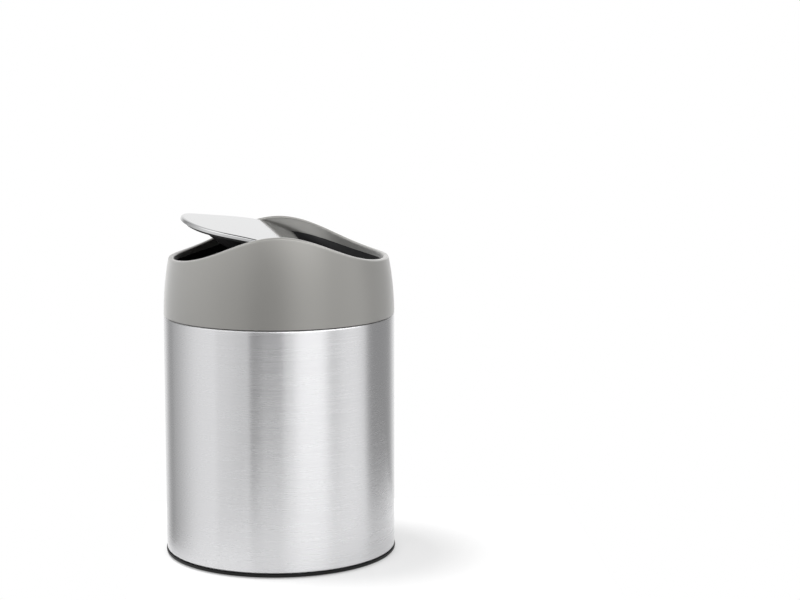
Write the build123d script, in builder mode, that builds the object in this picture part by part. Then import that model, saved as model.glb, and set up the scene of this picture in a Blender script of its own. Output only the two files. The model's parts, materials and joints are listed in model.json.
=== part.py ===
"""Push top countertop bin: a steel tube on a non-skid base, with a lift-off moulded top.

The rim of the top is one long wave, high over the hinge line and low at both sides.
A see-saw lid with the same wave hangs in it on two short pins, and a weight under the
hinge line swings it level again. Millimetres, +Z up, origin under the centre of the base.
The hinge line runs along Y. The lid is drawn pushed open, its +X wing down.
"""

import os
from math import asin, cos, degrees, pi, radians, sin, sqrt

from build123d import *

# ---- tube and base
tube_radius = 60.0
tube_wall = 0.6
tube_edge_bend = 1.2
tube_lip_width = 2.2
base_band_height = 2.3
base_band_overhang = 0.35
base_band_rounding = 1.1
base_floor_thickness = 1.8
base_plug_height = 7.0
base_plug_wall = 1.6
base_rib_count = 12
base_rib_thickness = 1.2
base_hub_radius = 12.0
base_hub_wall = 1.4
foot_ring_inset = 3.0
foot_ring_width = 6.0
foot_ring_thickness = 1.6
foot_ring_proud = 0.5

# ---- top: collar, sleeve and their wave rims
seam_height = 125.8
seam_gap = 0.3
rim_trough_rise = 30.2
wave_rise = 15.3
wave_inset = 3.0
wave_fullness = 0.3642
collar_curve_radius = 152.5
collar_wall = 1.4
lip_thickness = 2.8
rim_rounding = 0.9
lip_depth_at_crest = 7.9
lip_depth_at_trough = 3.4
skirt_depth = 17.0
skirt_wall = 1.4
skirt_taper_height = 6.5

# ---- hinge
hinge_drop = 5.0
rest_tilt = 24.0
full_tilt = 65.0
pin_radius = 1.5
pin_socket_floor = 0.8
pin_end_clearance = 0.25
pin_chamfer = 0.3
bush_radius = 2.3
bush_flange_radius = 2.9
bush_flange_thickness = 0.7
stop_radius = 7.0
stop_peg_radius = 1.2
stop_bumper_radius = 2.0
stop_lug_radius = 0.8
stop_lug_length = 2.0

# ---- lid
lid_recess_at_crest = 5.3
lid_recess_at_trough = 0.1
lid_edge_gap = 1.8
lid_sheet = 0.6
lid_flange_depth = 2.3
lid_edge_rounding = 0.5
backing_thickness = 1.3
backing_rim_inset = 3.0
backing_rim_wall = 1.2
backing_rim_depth = 1.6
bond_pad_spacing = 42.0
bond_pad_width = 8.0
bond_pad_length = 30.0
bond_pad_thickness = 0.6
bond_pad_corner_radius = 2.0
pivot_boss_radius = 3.2
pivot_boss_length = 6.0
stop_web_width = 4.4
stop_web_thickness = 2.4
cover_half_length = 40.0
cover_half_width = 27.0
cover_end_depth = 0.4
cover_belly_depth = 5.1
cover_wall = 1.3
cover_corner_radius = 8.0
cover_edge_rounding = 2.5
weight_length = 42.0
weight_width = 30.0
weight_thickness = 5.6
weight_corner_radius = 4.0
weight_rib_spacing = 24.0
weight_rib_thickness = 1.2
screw_inset_x = 11.0
screw_inset_y = 7.0
screw_boss_radius = 2.8
screw_recess = 1.84
screw_pad_thickness = 1.6
screw_shank_radius = 1.0
screw_tip_cover = 0.6
screw_head_radius = 1.9
screw_head_height = 1.2

# ---- clearances
fit = 0.1
running_fit = 0.05
loose_fit = 0.3
stop_clearance = 0.3

# ---- sizes that follow
rim_trough = seam_height + rim_trough_rise
rim_crest = rim_trough + wave_rise
lip_crest = rim_crest - lip_depth_at_crest
lip_trough = rim_trough - lip_depth_at_trough
lid_crest = rim_crest - lid_recess_at_crest
lid_trough = rim_trough - lid_recess_at_trough
hinge_height = lid_crest - hinge_drop
wave_half_length = tube_radius - wave_inset
foot_ring_radius = tube_radius - foot_ring_inset
reach = 2 * tube_radius
tube_inner_radius = tube_radius - tube_wall
tube_lip_radius = tube_radius - tube_lip_width
skirt_radius = tube_lip_radius - loose_fit
skirt_bottom = seam_height - skirt_depth
top_bottom = seam_height + seam_gap
arc_centre = tube_radius - collar_curve_radius


def top_radius(height, inset=0.0):
    """Radius of the collar's outer curve at a height, moved inwards by an inset."""
    return arc_centre + sqrt((collar_curve_radius - inset) ** 2 - (height - seam_height) ** 2)


sleeve_inset = collar_wall + fit
wall_radius = top_radius(hinge_height, lip_thickness)
lid_half_length = top_radius(lid_trough, lip_thickness) - lid_edge_gap
lid_half_width = top_radius(lid_crest, lip_thickness) - lid_edge_gap
backing_half_length = lid_half_length - lid_sheet - fit
backing_half_width = lid_half_width - lid_sheet - fit
backing_drop = lid_sheet + fit
under = backing_drop + backing_thickness
rim_edge = under + backing_rim_depth
bond_top = lid_sheet + running_fit
bond_bottom = bond_top + bond_pad_thickness
bond_seat = bond_bottom + running_fit


# The lid's own planes: origin on the hinge line, x towards the wing that is pushed down.
tilt = radians(rest_tilt)
lid_x = (cos(tilt), 0, -sin(tilt))
lid_plan = Plane(origin=(0, 0, hinge_height), x_dir=lid_x, z_dir=(sin(tilt), 0, cos(tilt)))
lid_side = Plane(origin=(0, 0, hinge_height), x_dir=lid_x, z_dir=(0, -1, 0))
lid_upright = Axis((0, 0, hinge_height), lid_plan.z_dir)
lid_rise = lid_crest - hinge_height
lid_fall = lid_trough - hinge_height


def lid_wave(along):
    """Height of the lid's top above the hinge line, at a distance along the wave."""
    return lid_fall + (lid_rise - lid_fall) * (1 + cos(pi * along / wave_half_length)) / 2


# Heights under the lid, from the hinge line along the lid's own upright.
screw_x = cover_half_length - screw_inset_x
screw_spacing_x = 2 * screw_x
screw_spacing_y = 2 * (cover_half_width - screw_inset_y)
cover_end = lid_wave(cover_half_length) - under - cover_end_depth
cover_belly = cover_end - cover_belly_depth
belly_radius = (cover_half_length**2 + cover_belly_depth**2) / (2 * cover_belly_depth)
screw_seat = cover_belly + belly_radius - sqrt(belly_radius**2 - screw_x**2) + screw_recess
screw_pad_top = screw_seat + screw_pad_thickness
screw_tip = lid_wave(screw_x + screw_shank_radius) - backing_drop - screw_tip_cover
screw_length = screw_tip - screw_seat
weight_top = cover_belly + cover_wall + fit + weight_thickness


def wave_region(plane, crest, trough):
    """Sketch of everything below a wave: crest over the hinge line, flat beyond the troughs."""
    pull = wave_fullness * wave_half_length
    far = wave_half_length - pull
    with BuildSketch(plane.offset(-reach)) as region:
        with BuildLine():
            Bezier((0, crest), (pull, crest), (far, trough), (wave_half_length, trough))
            Bezier((0, crest), (-pull, crest), (-far, trough), (-wave_half_length, trough))
            Polyline(
                (wave_half_length, trough),
                (reach, trough),
                (reach, trough - 2 * reach),
                (-reach, trough - 2 * reach),
                (-reach, trough),
                (-wave_half_length, trough),
            )
        make_face()
    return region.sketch


def ring_between(inner_inset, outer_inset, bottom, top):
    """Half section of a ring that follows the collar's outer curve between two insets."""
    middle = (bottom + top) / 2
    with BuildSketch(Plane.XZ) as section:
        with BuildLine():
            outer = ThreePointArc(
                (top_radius(bottom, outer_inset), bottom),
                (top_radius(middle, outer_inset), middle),
                (top_radius(top, outer_inset), top),
            )
            inner = ThreePointArc(
                (top_radius(bottom, inner_inset), bottom),
                (top_radius(middle, inner_inset), middle),
                (top_radius(top, inner_inset), top),
            )
            Line(outer @ 0, inner @ 0)
            Line(outer @ 1, inner @ 1)
        make_face()
    return section.sketch


def wall_plane(side, distance):
    """Plane square to the hinge line, facing away from the middle of the bin, y upwards."""
    return Plane(origin=(0, side * distance, hinge_height), x_dir=(-side, 0, 0), z_dir=(0, side, 0))


def lid_end_plane(side, distance):
    """The same on the lid: square to the hinge line, and tilted with the lid."""
    along = Vector(lid_x) * -side
    return Plane(origin=(0, side * distance, hinge_height), x_dir=along, z_dir=(0, side, 0))


os.makedirs("parts", exist_ok=True)


def save(piece, name):
    """Label a finished piece and write it as a node of its own."""
    piece.part.label = name
    export_step(piece.part, f"parts/{name}.step")


# ======== can ========

# Rolled steel tube, both edges turned inwards over a small bend.
with BuildPart() as body_tube:
    bend = tube_edge_bend
    turn = bend - bend / sqrt(2)
    low = base_band_height
    high = seam_height
    inner_bend = bend - tube_wall
    inner_turn = inner_bend - inner_bend / sqrt(2)
    with BuildSketch(Plane.XZ):
        with BuildLine():
            Line((tube_lip_radius, low), (tube_radius - bend, low))
            ThreePointArc(
                (tube_radius - bend, low),
                (tube_radius - turn, low + turn),
                (tube_radius, low + bend),
            )
            Line((tube_radius, low + bend), (tube_radius, high - bend))
            ThreePointArc(
                (tube_radius, high - bend),
                (tube_radius - turn, high - turn),
                (tube_radius - bend, high),
            )
            Polyline(
                (tube_radius - bend, high),
                (tube_lip_radius, high),
                (tube_lip_radius, high - tube_wall),
                (tube_radius - bend, high - tube_wall),
            )
            ThreePointArc(
                (tube_radius - bend, high - tube_wall),
                (tube_inner_radius - inner_turn, high - tube_wall - inner_turn),
                (tube_inner_radius, high - bend),
            )
            Line((tube_inner_radius, high - bend), (tube_inner_radius, low + bend))
            ThreePointArc(
                (tube_inner_radius, low + bend),
                (tube_inner_radius - inner_turn, low + tube_wall + inner_turn),
                (tube_radius - bend, low + tube_wall),
            )
            Polyline(
                (tube_radius - bend, low + tube_wall),
                (tube_lip_radius, low + tube_wall),
                (tube_lip_radius, low),
            )
        make_face()
    revolve(axis=Axis.Z)
save(body_tube, "body_tube")

# Moulded base: the band under the tube, a plug that snaps over the tube's lower lip,
# the bin's floor, and stiffening ribs round a hub underneath.
base_radius = tube_radius + base_band_overhang
plug_radius = tube_lip_radius - fit
snap_radius = tube_inner_radius - fit
snap_bottom = base_band_height + tube_wall + fit
snap_top = snap_bottom + base_plug_height
floor_bottom = base_band_height
floor_top = floor_bottom + base_floor_thickness
groove_inner = foot_ring_radius - foot_ring_width - fit
groove_outer = foot_ring_radius + fit
groove_top = foot_ring_thickness + fit
with BuildPart() as base_cup:
    with BuildSketch(Plane.XZ):
        with BuildLine():
            Polyline(
                (0, floor_bottom),
                (0, floor_top),
                (snap_radius - base_plug_wall, floor_top),
                (snap_radius - base_plug_wall, snap_top),
                (snap_radius - base_plug_wall / 2, snap_top),
                (snap_radius, snap_top - base_plug_wall),
                (snap_radius, snap_bottom + tube_edge_bend),
                (snap_radius - tube_edge_bend, snap_bottom),
                (plug_radius, snap_bottom),
                (plug_radius, base_band_height),
                (base_radius, base_band_height),
                (base_radius, foot_ring_proud + base_band_rounding),
            )
            RadiusArc(
                (base_radius, foot_ring_proud + base_band_rounding),
                (base_radius - base_band_rounding, foot_ring_proud),
                base_band_rounding,
            )
            Polyline(
                (base_radius - base_band_rounding, foot_ring_proud),
                (groove_outer, foot_ring_proud),
                (groove_outer, groove_top),
                (groove_inner, groove_top),
                (groove_inner, foot_ring_proud),
                (groove_inner - base_plug_wall, foot_ring_proud),
                (groove_inner - base_plug_wall, floor_bottom),
                (0, floor_bottom),
            )
        make_face()
    revolve(axis=Axis.Z)
    with BuildSketch(Plane.XY.offset(foot_ring_proud)):
        Circle(base_hub_radius)
        Circle(base_hub_radius - base_hub_wall, mode=Mode.SUBTRACT)
        rib_length = groove_inner - base_plug_wall / 2 - base_hub_radius
        with PolarLocations(base_hub_radius + rib_length / 2, base_rib_count):
            Rectangle(rib_length + base_hub_wall, base_rib_thickness)
    extrude(until=Until.NEXT)
save(base_cup, "base_cup")

# Soft ring in the base's groove, which is all that touches the worktop.
with BuildPart() as non_skid_ring:
    with BuildSketch():
        Circle(foot_ring_radius)
        Circle(foot_ring_radius - foot_ring_width, mode=Mode.SUBTRACT)
    extrude(amount=foot_ring_thickness)
    fillet(non_skid_ring.faces().sort_by(Axis.Z)[0].edges(), foot_ring_proud * 0.6)
save(non_skid_ring, "non_skid_ring")

# ======== top ========

# The collar's rebate: room behind the lip's lower edge for the inner sleeve.
collar_top = rim_crest + rim_rounding
with BuildPart() as rebate:
    section = ring_between(lip_thickness + collar_wall, collar_wall, seam_height, collar_top)
    revolve(section, axis=Axis.Z)
    extrude(wave_region(Plane.XZ, lip_crest, lip_trough), amount=2 * reach, mode=Mode.INTERSECT)

# Moulded collar: barrel-curved outside, wave rim, thick lip inside the rim.
with BuildPart() as collar:
    revolve(ring_between(lip_thickness, 0, top_bottom, collar_top), axis=Axis.Z)
    add(rebate.part, mode=Mode.SUBTRACT)
    extrude(wave_region(Plane.XZ, rim_crest, rim_trough), amount=2 * reach, mode=Mode.INTERSECT)
    rim_edges = collar.faces().sort_by(Axis.Z)[-1].edges()
    fillet(rim_edges, rim_rounding)
save(collar, "collar")

# Black inner sleeve: fills the rebate flush with the lip, narrows below the seam and
# plugs into the tube. It carries the hinge bushes and the lugs that stop the lid.
skirt_inner = skirt_radius - skirt_wall
taper_top = seam_height + skirt_taper_height
taper_radius = top_radius(taper_top, lip_thickness)
shoulder_radius = top_radius(top_bottom, sleeve_inset)
sleeve_middle = (taper_top + collar_top) / 2
bush_seat = top_radius(hinge_height + bush_flange_radius, lip_thickness) - fit
bush_pad_radius = bush_flange_radius + loose_fit
stop_reach = stop_bumper_radius + stop_lug_radius + stop_clearance
stop_swing = full_tilt + degrees(asin(stop_reach / stop_radius))
lug_x = stop_radius * sin(radians(stop_swing))
lug_z = hinge_height - stop_radius * cos(radians(stop_swing))
with BuildPart() as inner_sleeve:
    with BuildSketch(Plane.XZ):
        with BuildLine():
            Polyline(
                (top_radius(taper_top, lip_thickness), taper_top),
                (skirt_inner, seam_height),
                (skirt_inner, skirt_bottom),
                (skirt_radius - skirt_wall / 2, skirt_bottom),
                (skirt_radius, skirt_bottom + skirt_wall),
                (skirt_radius, top_bottom),
                (shoulder_radius, top_bottom),
            )
            ThreePointArc(
                (shoulder_radius, top_bottom),
                (top_radius(sleeve_middle, sleeve_inset), sleeve_middle),
                (top_radius(collar_top, sleeve_inset), collar_top),
            )
            Line(
                (top_radius(collar_top, sleeve_inset), collar_top),
                (top_radius(collar_top, lip_thickness), collar_top),
            )
            ThreePointArc(
                (top_radius(collar_top, lip_thickness), collar_top),
                (top_radius(sleeve_middle, lip_thickness), sleeve_middle),
                (taper_radius, taper_top),
            )
        make_face()
    revolve(axis=Axis.Z)
    for side in (-1, 1):
        with BuildSketch(wall_plane(side, bush_seat)):
            Circle(bush_pad_radius)
        extrude(amount=wall_radius - bush_seat + fit)
    extrude(
        wave_region(Plane.XZ, lip_crest - fit, lip_trough - fit),
        amount=2 * reach,
        mode=Mode.INTERSECT,
    )
    for side in (-1, 1):
        lug_start = wall_radius - stop_lug_length
        with BuildSketch(wall_plane(side, lug_start)):
            with Locations((-lug_x, lug_z - hinge_height), (lug_x, lug_z - hinge_height)):
                Circle(stop_lug_radius)
        extrude(amount=stop_lug_length + fit)
        with BuildSketch(wall_plane(side, bush_seat - fit)):
            Circle(bush_radius + running_fit)
        extrude(amount=2 * lip_thickness, mode=Mode.SUBTRACT)
save(inner_sleeve, "inner_sleeve")

# ======== hinge: a bush in each side of the sleeve, a pin in each end of the lid ========

bush_end = top_radius(hinge_height + bush_radius, collar_wall) - fit
bush_start = bush_seat - bush_flange_thickness
pin_end = bush_end - pin_end_clearance
boss_end = backing_half_width - loose_fit
boss_start = boss_end - pivot_boss_length
pin_start = boss_start + pin_socket_floor
for side, end in ((-1, "front"), (1, "rear")):
    with BuildPart() as pivot_bush:
        with BuildSketch(wall_plane(side, bush_start)):
            Circle(bush_flange_radius)
        extrude(amount=bush_flange_thickness)
        with BuildSketch(wall_plane(side, bush_seat)):
            Circle(bush_radius)
        extrude(amount=bush_end - bush_seat)
        with BuildSketch(wall_plane(side, bush_start)):
            Circle(pin_radius + running_fit)
        extrude(amount=bush_end - bush_start, mode=Mode.SUBTRACT)
    save(pivot_bush, f"{end}_pivot_bush")

    with BuildPart() as pivot_pin:
        with BuildSketch(lid_end_plane(side, pin_start)):
            Circle(pin_radius)
        extrude(amount=pin_end - pin_start)
        chamfer(pivot_pin.edges(), pin_chamfer)
    save(pivot_pin, f"{end}_pivot_pin")

    with BuildPart() as stop_bumper:
        with BuildSketch(lid_end_plane(side, boss_end + fit)):
            with Locations((0, -stop_radius)):
                Circle(stop_bumper_radius)
                Circle(stop_peg_radius + fit, mode=Mode.SUBTRACT)
        extrude(amount=wall_radius - fit - loose_fit * 2 - boss_end)
    save(stop_bumper, f"{end}_stop_bumper")

# ======== lid ========

# Polished sheet: a wave with its edge turned down all round.
with BuildPart() as under_sheet:
    with BuildSketch(lid_plan.offset(-reach)):
        Ellipse(lid_half_length - lid_sheet, lid_half_width - lid_sheet)
    extrude(amount=2 * reach)
    extrude(
        wave_region(lid_side, lid_rise - lid_sheet, lid_fall - lid_sheet),
        amount=2 * reach,
        mode=Mode.INTERSECT,
    )

with BuildPart() as lid_plate:
    with BuildSketch(lid_plan.offset(-reach)):
        Ellipse(lid_half_length, lid_half_width)
    extrude(amount=2 * reach)
    extrude(wave_region(lid_side, lid_rise, lid_fall), amount=2 * reach, mode=Mode.INTERSECT)
    extrude(
        wave_region(lid_side, lid_rise - lid_flange_depth, lid_fall - lid_flange_depth),
        amount=2 * reach,
        mode=Mode.SUBTRACT,
    )
    add(under_sheet.part, mode=Mode.SUBTRACT)
    fillet(lid_plate.edges().sort_by(lid_upright)[-1:], lid_edge_rounding)
save(lid_plate, "lid_plate")


def bond_pads(margin, top, bottom):
    """The pads' shape between two drops below the lid's top, larger by a margin all round."""
    with BuildPart() as pads:
        with BuildSketch(lid_plan.offset(-reach)):
            with GridLocations(bond_pad_spacing, 0, 3, 1):
                RectangleRounded(
                    bond_pad_width + 2 * margin,
                    bond_pad_length + 2 * margin,
                    bond_pad_corner_radius + margin,
                )
        extrude(amount=2 * reach)
        extrude(
            wave_region(lid_side, lid_rise - top, lid_fall - top),
            amount=2 * reach,
            mode=Mode.INTERSECT,
        )
        extrude(
            wave_region(lid_side, lid_rise - bottom, lid_fall - bottom),
            amount=2 * reach,
            mode=Mode.SUBTRACT,
        )
    return pads.part


# Three double-sided pads in shallow pockets of the backing hold the sheet on.
with BuildPart() as bonding_pads:
    add(bond_pads(0, bond_top, bond_bottom))
save(bonding_pads, "bonding_pads")

# Stiffening rim under the backing, drawn in from its edge.
with BuildPart() as backing_rim:
    with BuildSketch(lid_plan.offset(-reach)):
        Ellipse(backing_half_length - backing_rim_inset, backing_half_width - backing_rim_inset)
        Ellipse(
            backing_half_length - backing_rim_inset - backing_rim_wall,
            backing_half_width - backing_rim_inset - backing_rim_wall,
            mode=Mode.SUBTRACT,
        )
    extrude(amount=2 * reach)
    extrude(
        wave_region(lid_side, lid_rise - bond_seat, lid_fall - bond_seat),
        amount=2 * reach,
        mode=Mode.INTERSECT,
    )
    extrude(
        wave_region(lid_side, lid_rise - rim_edge, lid_fall - rim_edge),
        amount=2 * reach,
        mode=Mode.SUBTRACT,
    )

# Black backing inside the turned-down edge, with a boss for each pin and a web below it
# that ends in the peg of the lid's stop.
with BuildPart() as lid_backing:
    with BuildSketch(lid_plan.offset(-reach)):
        Ellipse(backing_half_length, backing_half_width)
    extrude(amount=2 * reach)
    extrude(
        wave_region(lid_side, lid_rise - backing_drop, lid_fall - backing_drop),
        amount=2 * reach,
        mode=Mode.INTERSECT,
    )
    extrude(
        wave_region(lid_side, lid_rise - under, lid_fall - under),
        amount=2 * reach,
        mode=Mode.SUBTRACT,
    )
    add(backing_rim.part)
    add(bond_pads(fit, backing_drop - fit, bond_seat), mode=Mode.SUBTRACT)
    with BuildSketch(lid_plan.offset(screw_pad_top + fit)):
        with GridLocations(screw_spacing_x, screw_spacing_y, 2, 2):
            Circle(screw_boss_radius)
    extrude(until=Until.NEXT)
    with BuildSketch(lid_plan.offset(weight_top + fit)):
        with GridLocations(weight_rib_spacing, 0, 2, 1):
            Rectangle(weight_rib_thickness, weight_width)
    extrude(until=Until.NEXT)
    with BuildSketch(lid_plan.offset(screw_seat)):
        with GridLocations(screw_spacing_x, screw_spacing_y, 2, 2):
            Circle(screw_shank_radius + running_fit)
    extrude(amount=screw_length + running_fit, mode=Mode.SUBTRACT)
    for side in (-1, 1):
        with BuildSketch(lid_end_plane(side, boss_start)):
            Circle(pivot_boss_radius)
            with Locations((0, (lid_rise - under) / 2)):
                Rectangle(2 * pivot_boss_radius, lid_rise - under + backing_thickness)
        extrude(amount=pivot_boss_length)
        with BuildSketch(lid_end_plane(side, boss_end - stop_web_thickness)):
            with Locations((0, -stop_radius / 2)):
                Rectangle(stop_web_width, stop_radius)
            with Locations((0, -stop_radius)):
                Circle(stop_web_width / 2)
        extrude(amount=stop_web_thickness)
        with BuildSketch(lid_end_plane(side, boss_end)):
            with Locations((0, -stop_radius)):
                Circle(stop_peg_radius)
        extrude(amount=wall_radius - boss_end - loose_fit * 2)
        with BuildSketch(lid_end_plane(side, pin_start - fit)):
            Circle(pin_radius + fit)
        extrude(amount=pivot_boss_length + lip_thickness, mode=Mode.SUBTRACT)
save(lid_backing, "lid_backing")

# Boat-shaped cover screwed under the backing, with the counterweight inside it.


def boat(inset):
    """Closed boat shape, drawn in from the cover's outside by an inset all round."""
    half_length = cover_half_length - inset
    with BuildPart() as hull:
        with BuildSketch(lid_side.offset(inset - cover_half_width)):
            with BuildLine():
                bottom = ThreePointArc(
                    (-half_length, cover_end + inset),
                    (0, cover_belly + inset),
                    (half_length, cover_end + inset),
                )
                Polyline(bottom @ 1, (half_length, lid_rise), (-half_length, lid_rise), bottom @ 0)
            make_face()
        extrude(amount=2 * (cover_half_width - inset))
        fillet(hull.edges().filter_by(lid_upright), cover_corner_radius - inset)
        fillet(hull.faces().sort_by(lid_upright)[0].edges(), cover_edge_rounding - inset)
    return hull.part


with BuildPart() as weight_cover:
    add(boat(0))
    add(boat(cover_wall), mode=Mode.SUBTRACT)
    with BuildSketch(lid_plan.offset(screw_pad_top)):
        with GridLocations(screw_spacing_x, screw_spacing_y, 2, 2):
            Circle(screw_boss_radius)
    extrude(amount=2 * cover_belly)
    add(boat(0), mode=Mode.INTERSECT)
    extrude(
        wave_region(lid_side, lid_rise - under - fit, lid_fall - under - fit),
        amount=2 * reach,
        mode=Mode.INTERSECT,
    )
    with BuildSketch(lid_plan.offset(screw_seat)):
        with GridLocations(screw_spacing_x, screw_spacing_y, 2, 2):
            Circle(screw_head_radius + fit)
    extrude(amount=2 * cover_belly, mode=Mode.SUBTRACT)
    with BuildSketch(lid_plan.offset(screw_seat)):
        with GridLocations(screw_spacing_x, screw_spacing_y, 2, 2):
            Circle(screw_shank_radius + fit)
    extrude(amount=screw_length, mode=Mode.SUBTRACT)
save(weight_cover, "weight_cover")

with BuildPart() as counterweight:
    with BuildSketch(lid_plan.offset(weight_top)):
        RectangleRounded(weight_length, weight_width, weight_corner_radius)
    extrude(amount=2 * cover_belly)
    add(boat(cover_wall + fit), mode=Mode.INTERSECT)
save(counterweight, "counterweight")

with BuildPart() as cover_screws:
    with BuildSketch(lid_plan.offset(screw_seat)):
        with GridLocations(screw_spacing_x, screw_spacing_y, 2, 2):
            Circle(screw_head_radius)
    extrude(amount=-screw_head_height)
    with BuildSketch(lid_plan.offset(screw_seat)):
        with GridLocations(screw_spacing_x, screw_spacing_y, 2, 2):
            Circle(screw_shank_radius)
    extrude(amount=screw_length)
save(cover_screws, "cover_screws")
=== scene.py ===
# %% [markdown]
# # Push top countertop bin
#
# A small steel bin on a white table. The tube is brushed round its axis, the moulded top
# has a wave rim, and a polished see-saw lid is pushed open by its right wing.
#
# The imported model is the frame: its bodies, joints and nodes stay as they are. What has
# the right shape there keeps its mesh and gets a finish. The few pieces that reflections
# run over are made again as finer meshes, and each takes its node's place.

import json
from math import cos, pi, radians, sin

import bmesh
import bpy
import numpy as np
from mathutils import Euler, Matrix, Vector


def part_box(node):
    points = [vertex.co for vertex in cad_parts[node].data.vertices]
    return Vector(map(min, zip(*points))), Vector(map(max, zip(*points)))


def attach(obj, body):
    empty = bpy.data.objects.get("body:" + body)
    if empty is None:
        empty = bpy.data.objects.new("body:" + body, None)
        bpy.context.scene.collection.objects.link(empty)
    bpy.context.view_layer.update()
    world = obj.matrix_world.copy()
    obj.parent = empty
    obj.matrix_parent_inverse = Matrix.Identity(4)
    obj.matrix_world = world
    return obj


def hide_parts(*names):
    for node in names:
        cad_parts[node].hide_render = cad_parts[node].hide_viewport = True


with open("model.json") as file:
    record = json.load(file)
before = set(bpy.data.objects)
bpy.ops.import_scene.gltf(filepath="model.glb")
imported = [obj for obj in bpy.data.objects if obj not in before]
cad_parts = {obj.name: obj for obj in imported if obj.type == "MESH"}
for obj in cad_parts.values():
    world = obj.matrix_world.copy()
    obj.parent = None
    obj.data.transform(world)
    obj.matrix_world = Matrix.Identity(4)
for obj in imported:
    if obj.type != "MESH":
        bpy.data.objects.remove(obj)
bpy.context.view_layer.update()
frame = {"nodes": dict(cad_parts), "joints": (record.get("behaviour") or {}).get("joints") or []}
nodes = frame["nodes"]
mm = 0.001


# %% [markdown]
# ## Sizes
#
# Whatever the frame can tell is read from it, so that the finer pieces stay true to the
# packed ones. The other sizes are the model's own driving values. They stand in the cell
# that first needs them, in metres like everything here.

# %% Sizes from the frame
tube_low, tube_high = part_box("body_tube")
collar_low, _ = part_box("collar")
tube_radius = tube_high.x
tube_low_edge = tube_low.z
seam_height = tube_high.z
collar_bottom = collar_low.z
print(f"tube radius {tube_radius / mm:.1f} mm, seam at {seam_height / mm:.1f} mm")

# %% [markdown]
# ## Camera
#
# A product is mostly shown through a long lens from some way off, because a short lens
# close by would bend its upright sides together. This one looks from a little above the
# rim, so that the opening shows, and is level enough to keep the sides upright. The bin
# stands left of the middle of the picture.

# %% Camera
camera_distance = 1.025
camera_height = 0.2832
camera_turn = 0.0615
camera_pitch = -0.1462
sensor_width = 36.0
lens_in_image_widths = 2.479

camera_data = bpy.data.cameras.new("camera")
camera_data.sensor_width = sensor_width
camera_data.lens = sensor_width * lens_in_image_widths
camera = bpy.data.objects.new("camera", camera_data)
camera.location = (0.0, -camera_distance, camera_height)
camera.rotation_euler = Euler((pi / 2 + camera_pitch, 0.0, -camera_turn))
bpy.context.scene.collection.objects.link(camera)
bpy.context.scene.camera = camera
bpy.context.scene.view_settings.view_transform = "Standard"
print(f"lens {camera_data.lens:.1f} mm at {camera_distance:.2f} m")

# %% [markdown]
# ## Small helpers for node trees
#
# Materials, the world and geometry trees are all nodes joined by links. Three small
# functions keep the cells below short: one starts a material, one does a sum and one
# stretches a range of values to another.


# %% Node helpers
def new_material(name):
    """An empty node material with its output and Principled shader."""
    material = bpy.data.materials.new(name)
    material.use_nodes = True
    tree = material.node_tree
    tree.nodes.clear()
    output = tree.nodes.new("ShaderNodeOutputMaterial")
    shader = tree.nodes.new("ShaderNodeBsdfPrincipled")
    tree.links.new(shader.outputs["BSDF"], output.inputs["Surface"])
    return material, tree, shader


def set_values(node, values):
    """Set plain values on a node's own sockets, by their labels."""
    for label, value in values.items():
        node.inputs[label].default_value = value


def math_node(tree, operation, first, second=None, third=None):
    """A Math node fed by sockets or plain numbers."""
    node = tree.nodes.new("ShaderNodeMath")
    node.operation = operation
    for socket, value in zip(node.inputs, (first, second, third)):
        if value is None:
            continue
        if isinstance(value, bpy.types.NodeSocket):
            tree.links.new(value, socket)
        else:
            socket.default_value = value
    return node.outputs[0]


def map_range(tree, value, low, high, to_low, to_high, kind="LINEAR"):
    """A Map Range node; value is a socket, the rest are plain numbers."""
    node = tree.nodes.new("ShaderNodeMapRange")
    node.interpolation_type = kind
    tree.links.new(value, node.inputs["Value"])
    set_values(
        node, {"From Min": low, "From Max": high, "To Min": to_low, "To Max": to_high}
    )
    return node.outputs["Result"]


print("node helpers ready")

# %% [markdown]
# ## Studio
#
# Steel has little colour of its own, so what the eye reads as steel is the room in it. A
# panorama of a real studio could light it, but a room made of a few numbers can be tuned
# band by band. This one is a ring of tall soft boxes with darker gaps between them, and
# the tube mirrors the ring as upright bands. Straight behind the bin is a white backdrop.
# A dark card dims the front, one soft box leans in high on the right, and one on the left
# fades out towards the back. Two bright canopies hang above the ring under a pale
# ceiling, and a dark hatch is straight above. The camera itself sees only plain white.

# %% Directions in the room
white_room = bpy.data.worlds.new("studio")
bpy.context.scene.world = white_room
white_room.use_nodes = True
room = white_room.node_tree
room.nodes.clear()

direction = room.nodes.new("ShaderNodeTexCoord").outputs["Generated"]
split = room.nodes.new("ShaderNodeSeparateXYZ")
room.links.new(direction, split.inputs["Vector"])
squares = [
    math_node(room, "MULTIPLY", split.outputs[axis], split.outputs[axis]) for axis in "XY"
]
level_length = math_node(room, "SQRT", math_node(room, "ADD", *squares))


def soft_box(azimuth, half_width, softness, strength):
    """Brightness of a tall panel, in degrees: 0 is at the camera, +90 on the right."""
    towards = radians(azimuth)
    across = math_node(room, "MULTIPLY", split.outputs["X"], sin(towards))
    along = math_node(room, "MULTIPLY", split.outputs["Y"], -cos(towards))
    facing = math_node(room, "DIVIDE", math_node(room, "ADD", across, along), level_length)
    edge_out = cos(radians(min(half_width + softness, 180)))
    edge_in = cos(radians(max(half_width - softness, 0)))
    return map_range(room, facing, edge_out, edge_in, 0.0, strength, "SMOOTHSTEP")


def rise_between(start, end):
    """A mask that goes from 0 to 1 between two heights on a unit sphere."""
    return map_range(room, split.outputs["Z"], start, end, 0.0, 1.0, "SMOOTHSTEP")


print("directions in the room ready")

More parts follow.
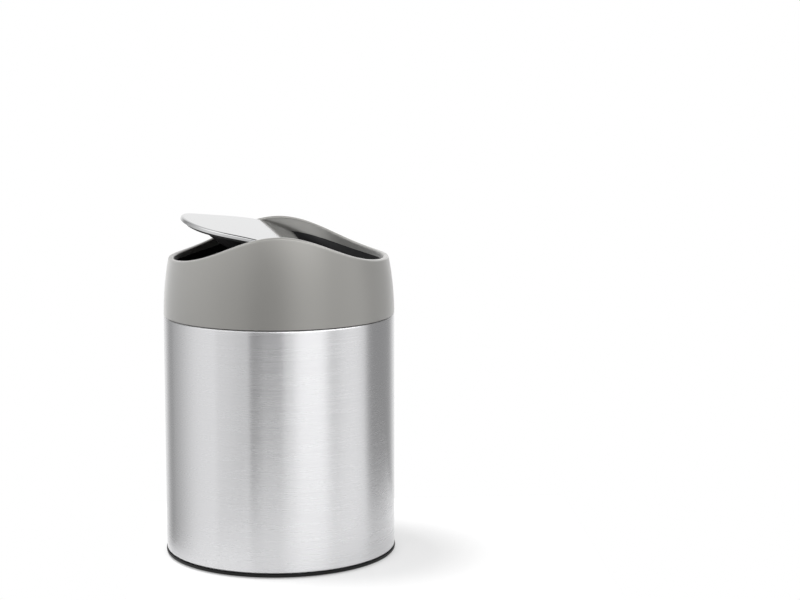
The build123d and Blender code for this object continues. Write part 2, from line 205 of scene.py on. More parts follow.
# %% Ring of soft boxes
# Each box is an azimuth, a half width and a softness in degrees, then a strength.
gap_brightness = 0.42
backdrop = (180, 24, 16, 1.0 - gap_brightness)
ring_boxes = {
    "broad wash on the right": (35, 66, 5, 0.08),
    "main box on the right": (50, 46, 5, 0.40),
    "bright strip near the front": (31.5, 12.5, 10, 0.50),
    "strip at the right edge": (76, 12, 8, 0.10),
    "box on the left": (-99, 33, 3, 0.13),
    "dark card at the front": (10, 54, 16, -0.15),
    "dark card behind the right": (120, 14, 10, -0.05),
}
leaning_box = (30, 20, 12, 0.25)
leaning_from, leaning_to = 0.10, 0.30
left_wall = (-86, 56, 2, 1.0)
left_fade = (-40, 68, 26, 0.46)

ring = math_node(room, "ADD", soft_box(*backdrop), gap_brightness)
for box in ring_boxes.values():
    ring = math_node(room, "ADD", ring, soft_box(*box))
leaning = math_node(
    room, "MULTIPLY", rise_between(leaning_from, leaning_to), soft_box(*leaning_box)
)
ring = math_node(room, "ADD", ring, leaning)
fading = math_node(room, "MULTIPLY", soft_box(*left_wall), soft_box(*left_fade))
ring = math_node(room, "ADD", ring, fading)
print(f"{len(ring_boxes)} boxes and cards round the bin")

# %% Ceiling, canopies and hatch
ceiling_brightness = 0.8
ceiling_from, ceiling_to = 0.45, 0.75
canopies = {
    "canopy on the right": (48, 55, 20, 2.1),
    "canopy on the left": (-62, 48, 20, 0.8),
}
canopy_from, canopy_to = 0.40, 0.60
hatch_brightness = 0.08
hatch_from, hatch_to = 0.84, 0.90


def blend_above(below, brightness, start, end):
    """Fade from what lies below to one brightness between two heights."""
    blend = room.nodes.new("ShaderNodeMix")
    blend.data_type = "FLOAT"
    room.links.new(rise_between(start, end), blend.inputs["Factor"])
    room.links.new(below, blend.inputs["A"])
    blend.inputs["B"].default_value = brightness
    return blend.outputs["Result"]


sky = blend_above(ring, ceiling_brightness, ceiling_from, ceiling_to)
above_ring = rise_between(canopy_from, canopy_to)
for box in canopies.values():
    sky = math_node(room, "MULTIPLY_ADD", above_ring, soft_box(*box), sky)
sky = blend_above(sky, hatch_brightness, hatch_from, hatch_to)
print(f"{len(canopies)} canopies under the ceiling")

# %% White for the camera, the room for light and mirrors
white = (1.0, 1.0, 1.0, 1.0)
lit = room.nodes.new("ShaderNodeBackground")
lit.inputs["Color"].default_value = white
room.links.new(sky, lit.inputs["Strength"])
seen = room.nodes.new("ShaderNodeBackground")
set_values(seen, {"Color": white, "Strength": 1.0})
choose = room.nodes.new("ShaderNodeMixShader")
ray = room.nodes.new("ShaderNodeLightPath")
room.links.new(ray.outputs["Is Camera Ray"], choose.inputs["Fac"])
room.links.new(lit.outputs["Background"], choose.inputs[1])
room.links.new(seen.outputs["Background"], choose.inputs[2])
world_out = room.nodes.new("ShaderNodeOutputWorld")
room.links.new(choose.outputs["Shader"], world_out.inputs["Surface"])
print("studio joined to the world")

# %% [markdown]
# ## Lamp
#
# The room alone gives almost no shadow, because it is bright on all sides. One large soft
# lamp high on the left adds the faint shadow on the right of the base. A smaller lamp or
# a sun would draw a hard edge. It only lights: it is hidden from mirror rays, so what the
# steel mirrors is the room.

# %% Lamp
lamp_width = 0.45
lamp_power = 14.5
lamp_place = (-0.32, 0.12, 1.36)
lamp_target = (0.0, 0.0, 0.05)

lamp_data = bpy.data.lights.new("soft_lamp", "AREA")
lamp_data.shape = "DISK"
lamp_data.size = lamp_width
lamp_data.energy = lamp_power
lamp = bpy.data.objects.new("soft_lamp", lamp_data)
lamp.visible_glossy = False
lamp.location = lamp_place
aim = Vector(lamp_target) - lamp.location
lamp.rotation_euler = aim.to_track_quat("-Z", "Y").to_euler()
bpy.context.scene.collection.objects.link(lamp)
print(f"lamp of {lamp_power} W at {lamp_place[2]} m")

# %% [markdown]
# ## Table
#
# A white table top. It glows a little for the camera, so that it meets the white
# background with no edge, and the rest of its brightness is light, which the bin shades.
# It reaches far in front of the bin and only a little way past its sides, so that the
# steel's dark edges mirror little of it and stay dark.

# %% Table
table_left, table_right = -0.075, 0.165
table_front, table_back = -0.30, 0.10
table_white_level = 0.455
table_glow = 0.36

table_mesh = bpy.data.meshes.new("table")
table_mesh.from_pydata(
    [
        (table_left, table_front, 0.0),
        (table_right, table_front, 0.0),
        (table_right, table_back, 0.0),
        (table_left, table_back, 0.0),
    ],
    [],
    [(0, 1, 2, 3)],
)
table = bpy.data.objects.new("table", table_mesh)
bpy.context.scene.collection.objects.link(table)
table_paint, tree, shader = new_material("table_white")
table_finish = {
    "Base Color": (table_white_level, table_white_level, table_white_level, 1.0),
    "Roughness": 0.9,
    "Specular IOR Level": 0.0,
    "Emission Color": white,
}
set_values(shader, table_finish)
path = tree.nodes.new("ShaderNodeLightPath").outputs
mirrored = math_node(tree, "MAXIMUM", path["Is Glossy Ray"], path["Is Transmission Ray"])
glow = math_node(tree, "MAXIMUM", path["Is Camera Ray"], mirrored)
strength = math_node(tree, "MULTIPLY", glow, table_glow)
tree.links.new(strength, shader.inputs["Emission Strength"])
table_mesh.materials.append(table_paint)
print("table in place")

# %% [markdown]
# ## Brushing
#
# The maker draws an abrasive belt round the tube, which leaves thousands of fine lines,
# each a few centimetres long. Modelling them would take millions of faces, so noise does
# it: a noise pattern stretched hard round the bin reads as lines. A second, sparser one
# gives a few short bright hairlines. Both are in a group, so that a finish can be tuned by
# three numbers.

# %% Brushing group
line_detail = 3.0
hairline_detail = 1.0
hairline_offset = 37.0
hairline_peak = 0.80
hairline_fade = 0.05


def new_group(name, inputs, outputs):
    """A shader group: inputs are (name, default), outputs are (name, socket type)."""
    group = bpy.data.node_groups.new(name, "ShaderNodeTree")
    for label, default in inputs:
        socket = group.interface.new_socket(
            label, in_out="INPUT", socket_type="NodeSocketFloat"
        )
        socket.default_value = default
    for label, kind in outputs:
        group.interface.new_socket(label, in_out="OUTPUT", socket_type=kind)
    source = group.nodes.new("NodeGroupInput")
    sink = group.nodes.new("NodeGroupOutput")
    return group, source, sink


def stretched_noise(tree, parts, along, across, detail, offset):
    """Noise drawn out round the bin: along and across are frequencies per metre."""
    join = tree.nodes.new("ShaderNodeCombineXYZ")
    for axis in "XY":
        stretched = math_node(tree, "MULTIPLY", parts[axis], along)
        tree.links.new(stretched, join.inputs[axis])
    stacked = math_node(tree, "MULTIPLY_ADD", parts["Z"], across, offset)
    tree.links.new(stacked, join.inputs["Z"])
    noise = tree.nodes.new("ShaderNodeTexNoise")
    noise.noise_dimensions = "3D"
    set_values(noise, {"Scale": 1.0, "Detail": detail, "Roughness": 0.6})
    tree.links.new(join.outputs["Vector"], noise.inputs["Vector"])
    return noise.outputs["Fac"]


brushing, source, sink = new_group(
    "brushing",
    [("Length per metre", 45.0), ("Lines per metre", 1300.0), ("Hairline share", 0.06)],
    [("Line", "NodeSocketFloat"), ("Hairline", "NodeSocketFloat")],
)
position = brushing.nodes.new("ShaderNodeTexCoord").outputs["Object"]
apart = brushing.nodes.new("ShaderNodeSeparateXYZ")
brushing.links.new(position, apart.inputs["Vector"])
along = source.outputs["Length per metre"]
across = source.outputs["Lines per metre"]
fine = stretched_noise(brushing, apart.outputs, along, across, line_detail, 0.0)
sparse = stretched_noise(
    brushing, apart.outputs, along, across, hairline_detail, hairline_offset
)
level = math_node(brushing, "SUBTRACT", hairline_peak, source.outputs["Hairline share"])
above = math_node(brushing, "SUBTRACT", sparse, level)
hairline = map_range(brushing, above, 0.0, hairline_fade, 0.0, 1.0)
brushing.links.new(hairline, sink.inputs["Hairline"])
brushing.links.new(fine, sink.inputs["Line"])
print("brushing group made")

# %% [markdown]
# ## Moulded grain
#
# Steel moulds are finely etched, so plastic leaves them with an even shallow grain and a
# gloss that varies a little from place to place. Dents in the mesh would need faces far
# smaller than any here. So a bump of fine noise stands for the grain, and a cloud of
# broad noise varies the gloss.

# %% Grain group
speck_detail = 2.0
cloud_scale = 45.0
grain_depth = 0.05 * mm

grain, source, sink = new_group(
    "moulded_grain",
    [("Grains per metre", 2600.0), ("Depth", 0.12)],
    [("Normal", "NodeSocketVector"), ("Mottle", "NodeSocketFloat")],
)
position = grain.nodes.new("ShaderNodeTexCoord").outputs["Object"]
speck = grain.nodes.new("ShaderNodeTexNoise")
speck.inputs["Detail"].default_value = speck_detail
grain.links.new(position, speck.inputs["Vector"])
grain.links.new(source.outputs["Grains per metre"], speck.inputs["Scale"])
cloud = grain.nodes.new("ShaderNodeTexNoise")
cloud.inputs["Scale"].default_value = cloud_scale
grain.links.new(position, cloud.inputs["Vector"])
dent = grain.nodes.new("ShaderNodeBump")
dent.inputs["Distance"].default_value = grain_depth
grain.links.new(source.outputs["Depth"], dent.inputs["Strength"])
grain.links.new(speck.outputs["Fac"], dent.inputs["Height"])
grain.links.new(dent.outputs["Normal"], sink.inputs["Normal"])
grain.links.new(cloud.outputs["Fac"], sink.inputs["Mottle"])
print("grain group made")

# %% [markdown]
# ## Brushed steel
#
# The tube's outside. Brushed metal spreads its highlights across the lines, which makes
# the room's bands run straight down the tube. A round gloss alone would blur them both
# ways. So the shader is anisotropic with its tangent round the axis, and the brushing
# group varies the tone and the gloss from line to line.

# %% Brushed steel
steel_dark = (0.645, 0.645, 0.656, 1.0)
steel_light = (0.70, 0.70, 0.712, 1.0)
hairline_tone = (0.84, 0.84, 0.84, 1.0)
hairline_strength = 0.20
line_low, line_high = 0.3, 0.7
steel_smooth, steel_rough = 0.235, 0.285

brushed_steel, tree, shader = new_material("brushed_steel")
lines = tree.nodes.new("ShaderNodeGroup")
lines.node_tree = brushing
tint = tree.nodes.new("ShaderNodeMix")
tint.data_type = "RGBA"
set_values(tint, {"A": steel_dark, "B": steel_light})
tree.links.new(lines.outputs["Line"], tint.inputs["Factor"])
streak = tree.nodes.new("ShaderNodeMix")
streak.data_type = "RGBA"
streak.inputs["B"].default_value = hairline_tone
share = math_node(tree, "MULTIPLY", lines.outputs["Hairline"], hairline_strength)
tree.links.new(share, streak.inputs["Factor"])
tree.links.new(tint.outputs["Result"], streak.inputs["A"])
tree.links.new(streak.outputs["Result"], shader.inputs["Base Color"])
gloss = map_range(
    tree, lines.outputs["Line"], line_low, line_high, steel_smooth, steel_rough
)
tree.links.new(gloss, shader.inputs["Roughness"])
tangent = tree.nodes.new("ShaderNodeTangent")
tangent.direction_type = "RADIAL"
tangent.axis = "Z"
tree.links.new(tangent.outputs["Tangent"], shader.inputs["Tangent"])
brushed_finish = {"Metallic": 1.0, "Anisotropic": 1.0, "Anisotropic Rotation": 0.25}
set_values(shader, brushed_finish)
print("brushed steel ready")

# %% [markdown]
# ## Polished and plain steel
#
# The lid's sheet is polished nearly to a mirror, and the pins, screws and weight are as
# they come from the machine. Neither has a pattern that shows at this size, so a plain
# metal with the right gloss is enough.

# %% Polished and plain steel
polished_steel, tree, shader = new_material("polished_steel")
polished_finish = {
    "Base Color": (0.58, 0.584, 0.588, 1.0),
    "Metallic": 1.0,
    "Roughness": 0.07,
}
set_values(shader, polished_finish)

plain_steel, tree, shader = new_material("plain_steel")
plain_finish = {
    "Base Color": (0.50, 0.50, 0.51, 1.0),
    "Metallic": 1.0,
    "Roughness": 0.35,
}
set_values(shader, plain_finish)
print("polished and plain steel ready")

# %% [markdown]
# ## Plastics and rubber
#
# The collar's grey plastic has a little metal flake in it, so it is part metallic and has
# a soft sheen towards its edges. The sleeve, backing and cover are black plastic, the base
# is a deeper black, and the ring, pads and bumpers are dull rubber. Each could be a
# material of its own, but all share the moulded grain, so one function makes them from a
# few numbers. The sheen and the metallic part are set on the shader itself, because an
# export drops such values when they are linked.

# %% Moulded finishes
mottle_low, mottle_high = 0.3, 0.7
gloss_spread = 0.03


def moulded(name, colour, roughness, depth, metallic=0.0, sheen=0.0, specular=0.5):
    """A moulded finish: plain colour, slight mottle in the gloss, shallow grain."""
    material, tree, shader = new_material(name)
    surface = tree.nodes.new("ShaderNodeGroup")
    surface.node_tree = grain
    surface.inputs["Depth"].default_value = depth
    shader.inputs["Base Color"].default_value = (*colour, 1.0)
    shader.inputs["Metallic"].default_value = metallic
    shader.inputs["Sheen Weight"].default_value = sheen
    shader.inputs["Specular IOR Level"].default_value = specular
    gloss = map_range(
        tree,
        surface.outputs["Mottle"],
        mottle_low,
        mottle_high,
        roughness - gloss_spread,
        roughness + gloss_spread,
    )
    tree.links.new(gloss, shader.inputs["Roughness"])
    tree.links.new(surface.outputs["Normal"], shader.inputs["Normal"])
    return material


grey_plastic = moulded(
    "grey_plastic", (0.273, 0.268, 0.254), 0.33, 0.12, metallic=0.45, sheen=0.5
)
black_plastic = moulded("black_plastic", (0.022, 0.022, 0.023), 0.48, 0.20, specular=0.4)
base_plastic = moulded("base_plastic", (0.006, 0.006, 0.006), 0.50, 0.10, specular=0.2)
bush_plastic = moulded("bush_plastic", (0.03, 0.03, 0.032), 0.35, 0.05)
black_rubber = moulded("black_rubber", (0.012, 0.012, 0.012), 0.75, 0.25, specular=0.3)
print("moulded finishes ready")

# %% [markdown]
# ## Meshes for the pieces that mirror the room
#
# The tube, the collar and the lid show long clean reflections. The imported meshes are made
# of flat facets of uneven size, which would break those reflections up, and smoothing them
# by a modifier would round the corners too. So each of these pieces gets a mesh whose
# points follow the exact curve: a closed section, swept once round.


# %% Mesh helpers
turns_round = 288
merge_distance = 1e-7
sharp_angle = radians(40)


def piece_from(name, points, faces, material, slot, body, replaced):
    """A closed smooth-shaded mesh that rides on a body and stands for a CAD node."""
    mesh = bpy.data.meshes.new(name)
    mesh.from_pydata([tuple(point) for point in points], [], faces)
    work = bmesh.new()
    work.from_mesh(mesh)
    bmesh.ops.remove_doubles(work, verts=work.verts, dist=merge_distance)
    bmesh.ops.recalc_face_normals(work, faces=work.faces)
    work.to_mesh(mesh)
    work.free()
    mesh.materials.append(material)
    mesh.shade_smooth()
    mesh.set_sharp_from_angle(angle=sharp_angle)
    piece = bpy.data.objects.new(name, mesh)
    bpy.context.scene.collection.objects.link(piece)
    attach(piece, body)
    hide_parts(replaced)
    print(f"{name}: {len(mesh.polygons)} faces")
    return piece


def full_turn(steps):
    """Evenly spaced angles of one full turn."""
    return [2 * pi * i / steps for i in range(steps)]


def swept_points(sections):
    """Points of sections of (radius, height), one section for each step of a full turn."""
    points = []
    for turn, section in zip(full_turn(len(sections)), sections):
        points += [(r * cos(turn), r * sin(turn), z) for r, z in section]
    return points


def ring_faces(rings, steps):
    """Quads of a closed section swept once round: point j at step i is i * rings + j."""
    faces = []
    for i in range(steps):
        here, after = i * rings, (i + 1) % steps * rings
        for j in range(rings):
            down = (j + 1) % rings
            faces.append((here + j, after + j, after + down, here + down))
    return faces


def arc(centre, radius, start, end, count=7):
    """Points on an arc in a section plane, from one angle to another in degrees."""
    turns = np.radians(np.linspace(start, end, count))
    return [(centre[0] + radius * cos(t), centre[1] + radius * sin(t)) for t in turns]


print(f"{turns_round} steps round each swept piece")

# %% [markdown]
# ## Tube
#
# The real tube is a thin stainless sheet, rolled and joined, with both edges turned
# inwards over a small bend so that neither is sharp. A cylinder with Solidify and Bevel
# modifiers could stand for it. The section is drawn point by point instead, because the
# bright line under the seam comes from the exact bend there.

# %% Tube
tube_wall = 0.6 * mm
tube_edge_bend = 1.2 * mm
tube_lip_width = 2.2 * mm
straight_margin = 0.3 * mm
wall_ring_count = 9

bend_radius = tube_radius - tube_edge_bend
inner_bend = tube_edge_bend - tube_wall
lip_radius = tube_radius - tube_lip_width
low_bend = tube_low_edge + tube_edge_bend
high_bend = seam_height - tube_edge_bend
wall_rings = np.linspace(
    low_bend + straight_margin, high_bend - straight_margin, wall_ring_count
)
tube_section = [(lip_radius, tube_low_edge)]
tube_section += arc((bend_radius, low_bend), tube_edge_bend, -90, 0)
tube_section += [(tube_radius, z) for z in wall_rings]
tube_section += arc((bend_radius, high_bend), tube_edge_bend, 0, 90)
tube_section += [(lip_radius, seam_height), (lip_radius, seam_height - tube_wall)]
tube_section += arc((bend_radius, high_bend), inner_bend, 90, 0)
tube_section += [(tube_radius - tube_wall, z) for z in wall_rings[::-1]]
tube_section += arc((bend_radius, low_bend), inner_bend, 0, -90)
tube_section += [(lip_radius, tube_low_edge + tube_wall)]
piece_from(
    "steel_tube",
    swept_points([tube_section] * turns_round),
    ring_faces(len(tube_section), turns_round),
    brushed_steel,
    "brushed_steel",
    "root",
    "body_tube",
)

# %% [markdown]
# ## Collar
#
# The moulded top is a shell with a barrel curve outside and a thick inner lip. Its rim is
# a wave: high at the front and back, low at the sides. Cutting a barrel with a wavy cutter
# would work, but would leave a ragged edge to round. Here the section changes with the
# angle instead, because the rim and the lower edge of the lip are waves. Each section
# point is an inset from the barrel curve and a height that hangs from one of the two
# waves, found by a few rounds of substitution.

# %% Barrel and wave
collar_curve_radius = 152.5 * mm
collar_wall = 1.4 * mm
lip_thickness = 2.8 * mm
rim_rounding = 0.9 * mm
rim_inner_rounding = 1.4 * mm
rim_trough = seam_height + 30.2 * mm
rim_crest = rim_trough + 15.3 * mm
lip_trough = rim_trough - 3.4 * mm
lip_crest = rim_crest - 7.9 * mm
wave_half_length = tube_radius - 3.0 * mm
substitution_rounds = 8


def top_radius(height, inset=0.0):
    """Radius of the collar's barrel curve at a height, moved inwards by an inset."""
    rise = np.asarray(height) - seam_height
    curve = np.sqrt((collar_curve_radius - inset) ** 2 - rise**2)
    return tube_radius - collar_curve_radius + curve


def wave(along, crest, trough):
    """Height of a wave rim at a distance from the hinge line."""
    share = np.minimum(np.abs(along) / wave_half_length, 1.0)
    return trough + (crest - trough) * (1 + np.cos(pi * share)) / 2


def on_wave(turn, inset, crest, trough, drop):
    """Point at an angle and inset whose height is a wave's height there less a drop."""
    height = trough
    for _ in range(substitution_rounds):
        across = float(top_radius(height, inset)) * cos(turn)
        height = float(wave(across, crest, trough)) - drop
    return float(top_radius(height, inset)), height


print(f"rim from {rim_trough / mm:.1f} to {rim_crest / mm:.1f} mm")

# %% Collar
outside_rows = [*np.linspace(0.0, 0.97, 14), 0.99]
lip_rows = (0.04, 0.3, 0.6, 1.0)
skirt_rows = np.linspace(0.0, 1.0, 7)
inner_arc_points = 12


def upright(low, high, inset, rows):
    """Section points that follow the barrel curve between two heights."""
    heights = [low + (high - low) * share for share in rows]
    return [(float(top_radius(z, inset)), z) for z in heights]


def collar_section(turn):
    """Closed section of the collar at one angle, outside first."""
    _, edge = on_wave(turn, 0.0, rim_crest, rim_trough, rim_rounding)
    section = upright(collar_bottom, edge, 0.0, outside_rows)
    rounding = arc((rim_rounding, rim_rounding), rim_rounding, 180, 270)
    rounding += arc(
        (lip_thickness - rim_inner_rounding, rim_inner_rounding),
        rim_inner_rounding,
        270,
        360,
        inner_arc_points,
    )
    for inset, drop in rounding:
        section.append(on_wave(turn, inset, rim_crest, rim_trough, drop))
    _, lip_top = on_wave(turn, lip_thickness, rim_crest, rim_trough, rim_inner_rounding)
    _, lip_edge = on_wave(turn, lip_thickness, lip_crest, lip_trough, 0.0)
    section += upright(lip_top, lip_edge, lip_thickness, lip_rows)
    _, rebate_top = on_wave(turn, collar_wall, lip_crest, lip_trough, 0.0)
    section += upright(rebate_top, collar_bottom, collar_wall, skirt_rows)
    return section


collar_sections = [collar_section(turn) for turn in full_turn(turns_round)]
piece_from(
    "moulded_collar",
    swept_points(collar_sections),
    ring_faces(len(collar_sections[0]), turns_round),
    grey_plastic,
    "grey_plastic",
    "top",
    "collar",
)

# %% [markdown]
# ## Lid
#
# The lid is an oval of polished sheet, pressed to the same wave, with its edge turned down
# all round. It could be modelled bent and tilted at once, but the two shapes are easier to
# read apart. The flat oval comes first, as closed rings of points. A geometry tree then
# bends it to the wave and tips it about the hinge line, and the wave's sizes and the tilt
# are the tree's inputs.


# %% Geometry tree helpers
def new_shape_tree(name, labels):
    """A geometry tree with number inputs: the tree, its two ends, the inputs' keys."""
    tree = bpy.data.node_groups.new(name, "GeometryNodeTree")
    sockets = tree.interface
    sockets.new_socket("Geometry", in_out="INPUT", socket_type="NodeSocketGeometry")
    keys = {}
    for label in labels:
        socket = sockets.new_socket(label, in_out="INPUT", socket_type="NodeSocketFloat")
        keys[label] = socket.identifier
    sockets.new_socket("Geometry", in_out="OUTPUT", socket_type="NodeSocketGeometry")
    source = tree.nodes.new("NodeGroupInput")
    sink = tree.nodes.new("NodeGroupOutput")
    return tree, source, sink, keys


def vector_of(tree, **parts):
    """A vector socket from single number sockets."""
    join = tree.nodes.new("ShaderNodeCombineXYZ")
    for axis, part in parts.items():
        tree.links.new(part, join.inputs[axis])
    return join.outputs["Vector"]


def tip_and_finish(tree, shape, source, sink, material):
    """End a lid tree: make instances real, tip about the hinge line, set the finish."""
    realize = tree.nodes.new("GeometryNodeRealizeInstances")
    tree.links.new(shape, realize.inputs["Geometry"])
    tip = tree.nodes.new("GeometryNodeTransform")
    tree.links.new(realize.outputs["Geometry"], tip.inputs["Geometry"])
    turn_by = vector_of(tree, Y=source.outputs["Tilt"])
    tree.links.new(turn_by, tip.inputs["Rotation"])
    raise_by = vector_of(tree, Z=source.outputs["Hinge height"])
    tree.links.new(raise_by, tip.inputs["Translation"])
    paint = tree.nodes.new("GeometryNodeSetMaterial")
    paint.inputs["Material"].default_value = material
    tree.links.new(tip.outputs["Geometry"], paint.inputs["Geometry"])
    tree.links.new(paint.outputs["Geometry"], sink.inputs["Geometry"])


def through_tree(name, points, faces, tree, keys, settings):
    """The plain mesh that a geometry tree makes of some points and faces."""
    mesh = bpy.data.meshes.new(name)
    mesh.from_pydata(points, [], faces)
    flat = bpy.data.objects.new(name, mesh)
    bpy.context.scene.collection.objects.link(flat)
    modifier = flat.modifiers.new(name, "NODES")
    modifier.node_group = tree
    for label, value in settings.items():
        modifier[keys[label]] = value
    shaped = flat.evaluated_get(bpy.context.evaluated_depsgraph_get())
    made = bpy.data.meshes.new_from_object(shaped)
    flat.modifiers.remove(modifier)
    bpy.data.objects.remove(flat)
    made_points = [vertex.co.copy() for vertex in made.vertices]
    return made_points, [tuple(face.vertices) for face in made.polygons]


print("geometry tree helpers ready")

# %% Wave tree
wave_tree, source, sink, wave_keys = new_shape_tree(
    "wave_sheet", ("Crest", "Trough", "Half length", "Hinge height", "Tilt")
)
place = wave_tree.nodes.new("ShaderNodeSeparateXYZ")
position = wave_tree.nodes.new("GeometryNodeInputPosition")
wave_tree.links.new(position.outputs[0], place.inputs[0])
along = math_node(wave_tree, "ABSOLUTE", place.outputs["X"])
share = math_node(wave_tree, "DIVIDE", along, source.outputs["Half length"])
share = math_node(wave_tree, "MINIMUM", share, 1.0)
swing = math_node(wave_tree, "COSINE", math_node(wave_tree, "MULTIPLY", share, pi))
swing = math_node(wave_tree, "MULTIPLY_ADD", swing, 0.5, 0.5)
rise = math_node(wave_tree, "SUBTRACT", source.outputs["Crest"], source.outputs["Trough"])
height = math_node(wave_tree, "MULTIPLY_ADD", swing, rise, source.outputs["Trough"])
height = math_node(wave_tree, "SUBTRACT", height, source.outputs["Hinge height"])
bend = wave_tree.nodes.new("GeometryNodeSetPosition")
wave_tree.links.new(source.outputs["Geometry"], bend.inputs["Geometry"])
wave_tree.links.new(vector_of(wave_tree, Z=height), bend.inputs["Offset"])
tip_and_finish(wave_tree, bend.outputs["Geometry"], source, sink, polished_steel)
print(f"wave tree takes {', '.join(wave_keys)}")

# %% Sizes of the lid
lid_joint = next(joint for joint in frame["joints"] if joint["name"] == "lid_tilt")
hinge = Vector(lid_joint["pos_m"])
rest_tilt = radians(24.0)
lid_trough = rim_trough - 0.1 * mm
lid_crest = rim_crest - 5.3 * mm
lid_edge_gap = 1.8 * mm
lid_sheet = 0.6 * mm
lid_flange_depth = 2.3 * mm
lid_edge_rounding = 1.0 * mm
lid_foot_rounding = 0.4 * mm
lid_half_length = float(top_radius(lid_trough, lip_thickness)) - lid_edge_gap
lid_half_width = float(top_radius(lid_crest, lip_thickness)) - lid_edge_gap
print(f"lid {2 * lid_half_length / mm:.1f} by {2 * lid_half_width / mm:.1f} mm when flat")

# %% Lid
# A section point is an inset from the oval's edge and a depth under the sheet's top. The
# shares stop just short of the middle, where a small flat cap closes each side.
lid_turns = 256
top_shares = np.linspace(0.004, 0.995, 60)
under_shares = np.linspace(0.0, 0.996, 12)


def capped_faces(rings, steps):
    """Faces of an open section swept once round, with a flat cap at each end."""
    swept = enumerate(ring_faces(rings, steps))
    faces = [face for index, face in swept if index % rings != rings - 1]
    faces.append(tuple(i * rings for i in range(steps)))
    faces.append(tuple(i * rings + rings - 1 for i in range(steps))[::-1])
    return faces


lid_spread = lid_half_width - lid_edge_rounding
edge_centre = (lid_edge_rounding, lid_edge_rounding)
foot_centre = (lid_foot_rounding, lid_flange_depth - lid_foot_rounding)
lid_section = [(lid_edge_rounding + lid_spread * (1 - s), 0.0) for s in top_shares]
lid_section += arc(edge_centre, lid_edge_rounding, 270, 180, 9)
lid_section += arc(foot_centre, lid_foot_rounding, 180, 90, 5)
lid_section += [(lid_sheet, lid_flange_depth)]
lid_section += [
    (lid_sheet + (lid_half_width - lid_sheet) * s, lid_sheet) for s in under_shares
]
lid_points = []
for turn in full_turn(lid_turns):
    for inset, drop in lid_section:
        middle = max(inset - lid_edge_rounding, 0.0) / lid_spread
        reach_x = (lid_half_length - min(inset, lid_edge_rounding)) * (1 - middle)
        reach_y = lid_half_width - inset
        lid_points.append((reach_x * cos(turn), reach_y * sin(turn), -drop))
lid_settings = {
    "Crest": lid_crest,
    "Trough": lid_trough,
    "Half length": wave_half_length,
    "Hinge height": hinge.z,
    "Tilt": rest_tilt,
}
lid_faces = capped_faces(len(lid_section), lid_turns)
lid_mesh = through_tree(
    "flat_lid", lid_points, lid_faces, wave_tree, wave_keys, lid_settings
)
piece_from(
    "polished_lid", *lid_mesh, polished_steel, "polished_steel", "lid", "lid_plate"
)

# %% [markdown]
# ## Screws
#
# Four small cross-head screws hold the weight cover under the lid. They could be four
# copies placed by hand. One screw is turned from a rounded profile instead, and a geometry
# tree cuts the cross in its head, stands a copy at each corner of a grid and tips the set
# with the lid, so that a change of spacing moves all four.

# %% Screw tree
screw_labels = ("Spacing along", "Spacing across", "Seat height", "Head height")
screw_labels += ("Cross length", "Cross width", "Cross depth", "Hinge height", "Tilt")
screw_tree, source, sink, screw_keys = new_shape_tree("screw_set", screw_labels)

cut = screw_tree.nodes.new("GeometryNodeMeshBoolean")
cut.operation = "DIFFERENCE"
screw_tree.links.new(source.outputs["Geometry"], cut.inputs["Mesh 1"])
deep = math_node(screw_tree, "MULTIPLY", source.outputs["Cross depth"], 2.0)
low = math_node(screw_tree, "MULTIPLY", source.outputs["Head height"], -1.0)
for x, y in (("Cross length", "Cross width"), ("Cross width", "Cross length")):
    slot = screw_tree.nodes.new("GeometryNodeMeshCube")
    size = vector_of(screw_tree, X=source.outputs[x], Y=source.outputs[y], Z=deep)
    screw_tree.links.new(size, slot.inputs["Size"])
    place = screw_tree.nodes.new("GeometryNodeTransform")
    screw_tree.links.new(slot.outputs["Mesh"], place.inputs["Geometry"])
    screw_tree.links.new(vector_of(screw_tree, Z=low), place.inputs["Translation"])
    screw_tree.links.new(place.outputs["Geometry"], cut.inputs["Mesh 2"])

corner_grid = screw_tree.nodes.new("GeometryNodeMeshGrid")
set_values(corner_grid, {"Vertices X": 2, "Vertices Y": 2})
screw_tree.links.new(source.outputs["Spacing along"], corner_grid.inputs["Size X"])
screw_tree.links.new(source.outputs["Spacing across"], corner_grid.inputs["Size Y"])
seat = screw_tree.nodes.new("GeometryNodeTransform")
screw_tree.links.new(corner_grid.outputs["Mesh"], seat.inputs["Geometry"])
seat_at = vector_of(screw_tree, Z=source.outputs["Seat height"])
screw_tree.links.new(seat_at, seat.inputs["Translation"])
stand = screw_tree.nodes.new("GeometryNodeInstanceOnPoints")
screw_tree.links.new(seat.outputs["Geometry"], stand.inputs["Points"])
screw_tree.links.new(cut.outputs["Mesh"], stand.inputs["Instance"])
tip_and_finish(screw_tree, stand.outputs["Instances"], source, sink, plain_steel)
print(f"screw tree takes {', '.join(screw_keys)}")

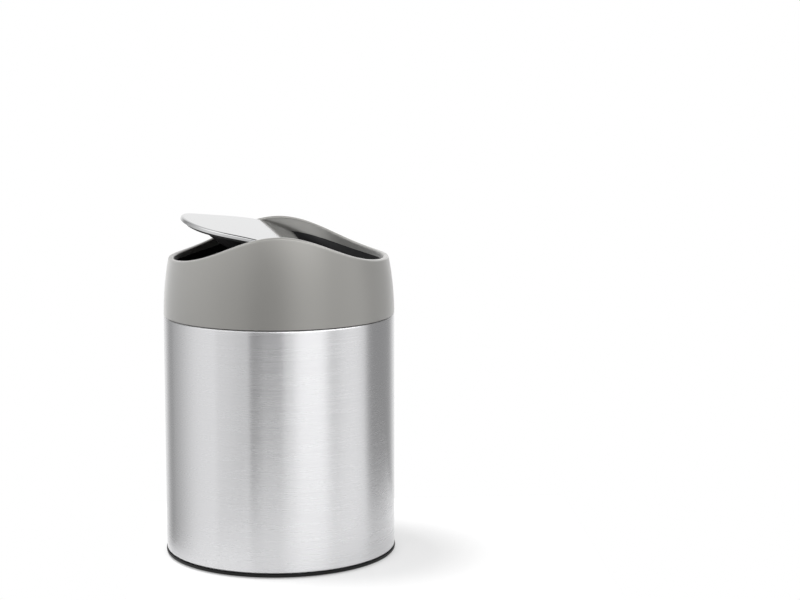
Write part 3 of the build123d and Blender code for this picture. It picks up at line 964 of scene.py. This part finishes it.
# %% Screws
screw_head_radius = 1.9 * mm
screw_head_height = 1.2 * mm
screw_head_rounding = 0.35 * mm
screw_head_middle = 0.1 * mm
screw_shank_radius = 1.0 * mm
screw_length = 4.27 * mm
screw_tip_length = 0.5 * mm
screw_tip_radius = 0.4 * mm
screw_steps = 48
screw_settings = {
    "Spacing along": 58.0 * mm,
    "Spacing across": 40.0 * mm,
    "Seat height": -6.04 * mm,
    "Head height": screw_head_height,
    "Cross length": 2.2 * mm,
    "Cross width": 0.5 * mm,
    "Cross depth": 0.6 * mm,
    "Hinge height": hinge.z,
    "Tilt": rest_tilt,
}

head_round = (
    screw_head_radius - screw_head_rounding,
    screw_head_rounding - screw_head_height,
)
screw_section = [(screw_head_middle, -screw_head_height)]
screw_section += arc(head_round, screw_head_rounding, 270, 360, 6)
screw_section += [(screw_head_radius, 0.0), (screw_shank_radius, 0.0)]
screw_section += [(screw_shank_radius, screw_length - screw_tip_length)]
screw_section += [(screw_tip_radius, screw_length)]
screw_points = swept_points([screw_section] * screw_steps)
screw_faces = capped_faces(len(screw_section), screw_steps)
screw_mesh = through_tree(
    "one_screw", screw_points, screw_faces, screw_tree, screw_keys, screw_settings
)
piece_from(
    "cross_screws", *screw_mesh, plain_steel, "plain_steel", "lid", "cover_screws"
)

# %% [markdown]
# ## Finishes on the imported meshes
#
# The other thirteen pieces are black, small or hidden, and no long reflection runs over
# them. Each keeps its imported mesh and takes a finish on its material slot, so its shape
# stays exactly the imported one.

# %% Finishes on nodes
finish_of = {
    "base_cup": base_plastic,
    "non_skid_ring": black_rubber,
    "inner_sleeve": black_plastic,
    "front_pivot_bush": bush_plastic,
    "rear_pivot_bush": bush_plastic,
    "lid_backing": black_plastic,
    "bonding_pads": black_rubber,
    "front_pivot_pin": plain_steel,
    "rear_pivot_pin": plain_steel,
    "front_stop_bumper": black_rubber,
    "rear_stop_bumper": black_rubber,
    "counterweight": plain_steel,
    "weight_cover": black_plastic,
}
for name, finish in finish_of.items():
    for index in range(len(nodes[name].data.materials)):
        nodes[name].data.materials[index] = finish
print(f"{len(finish_of)} nodes finished")
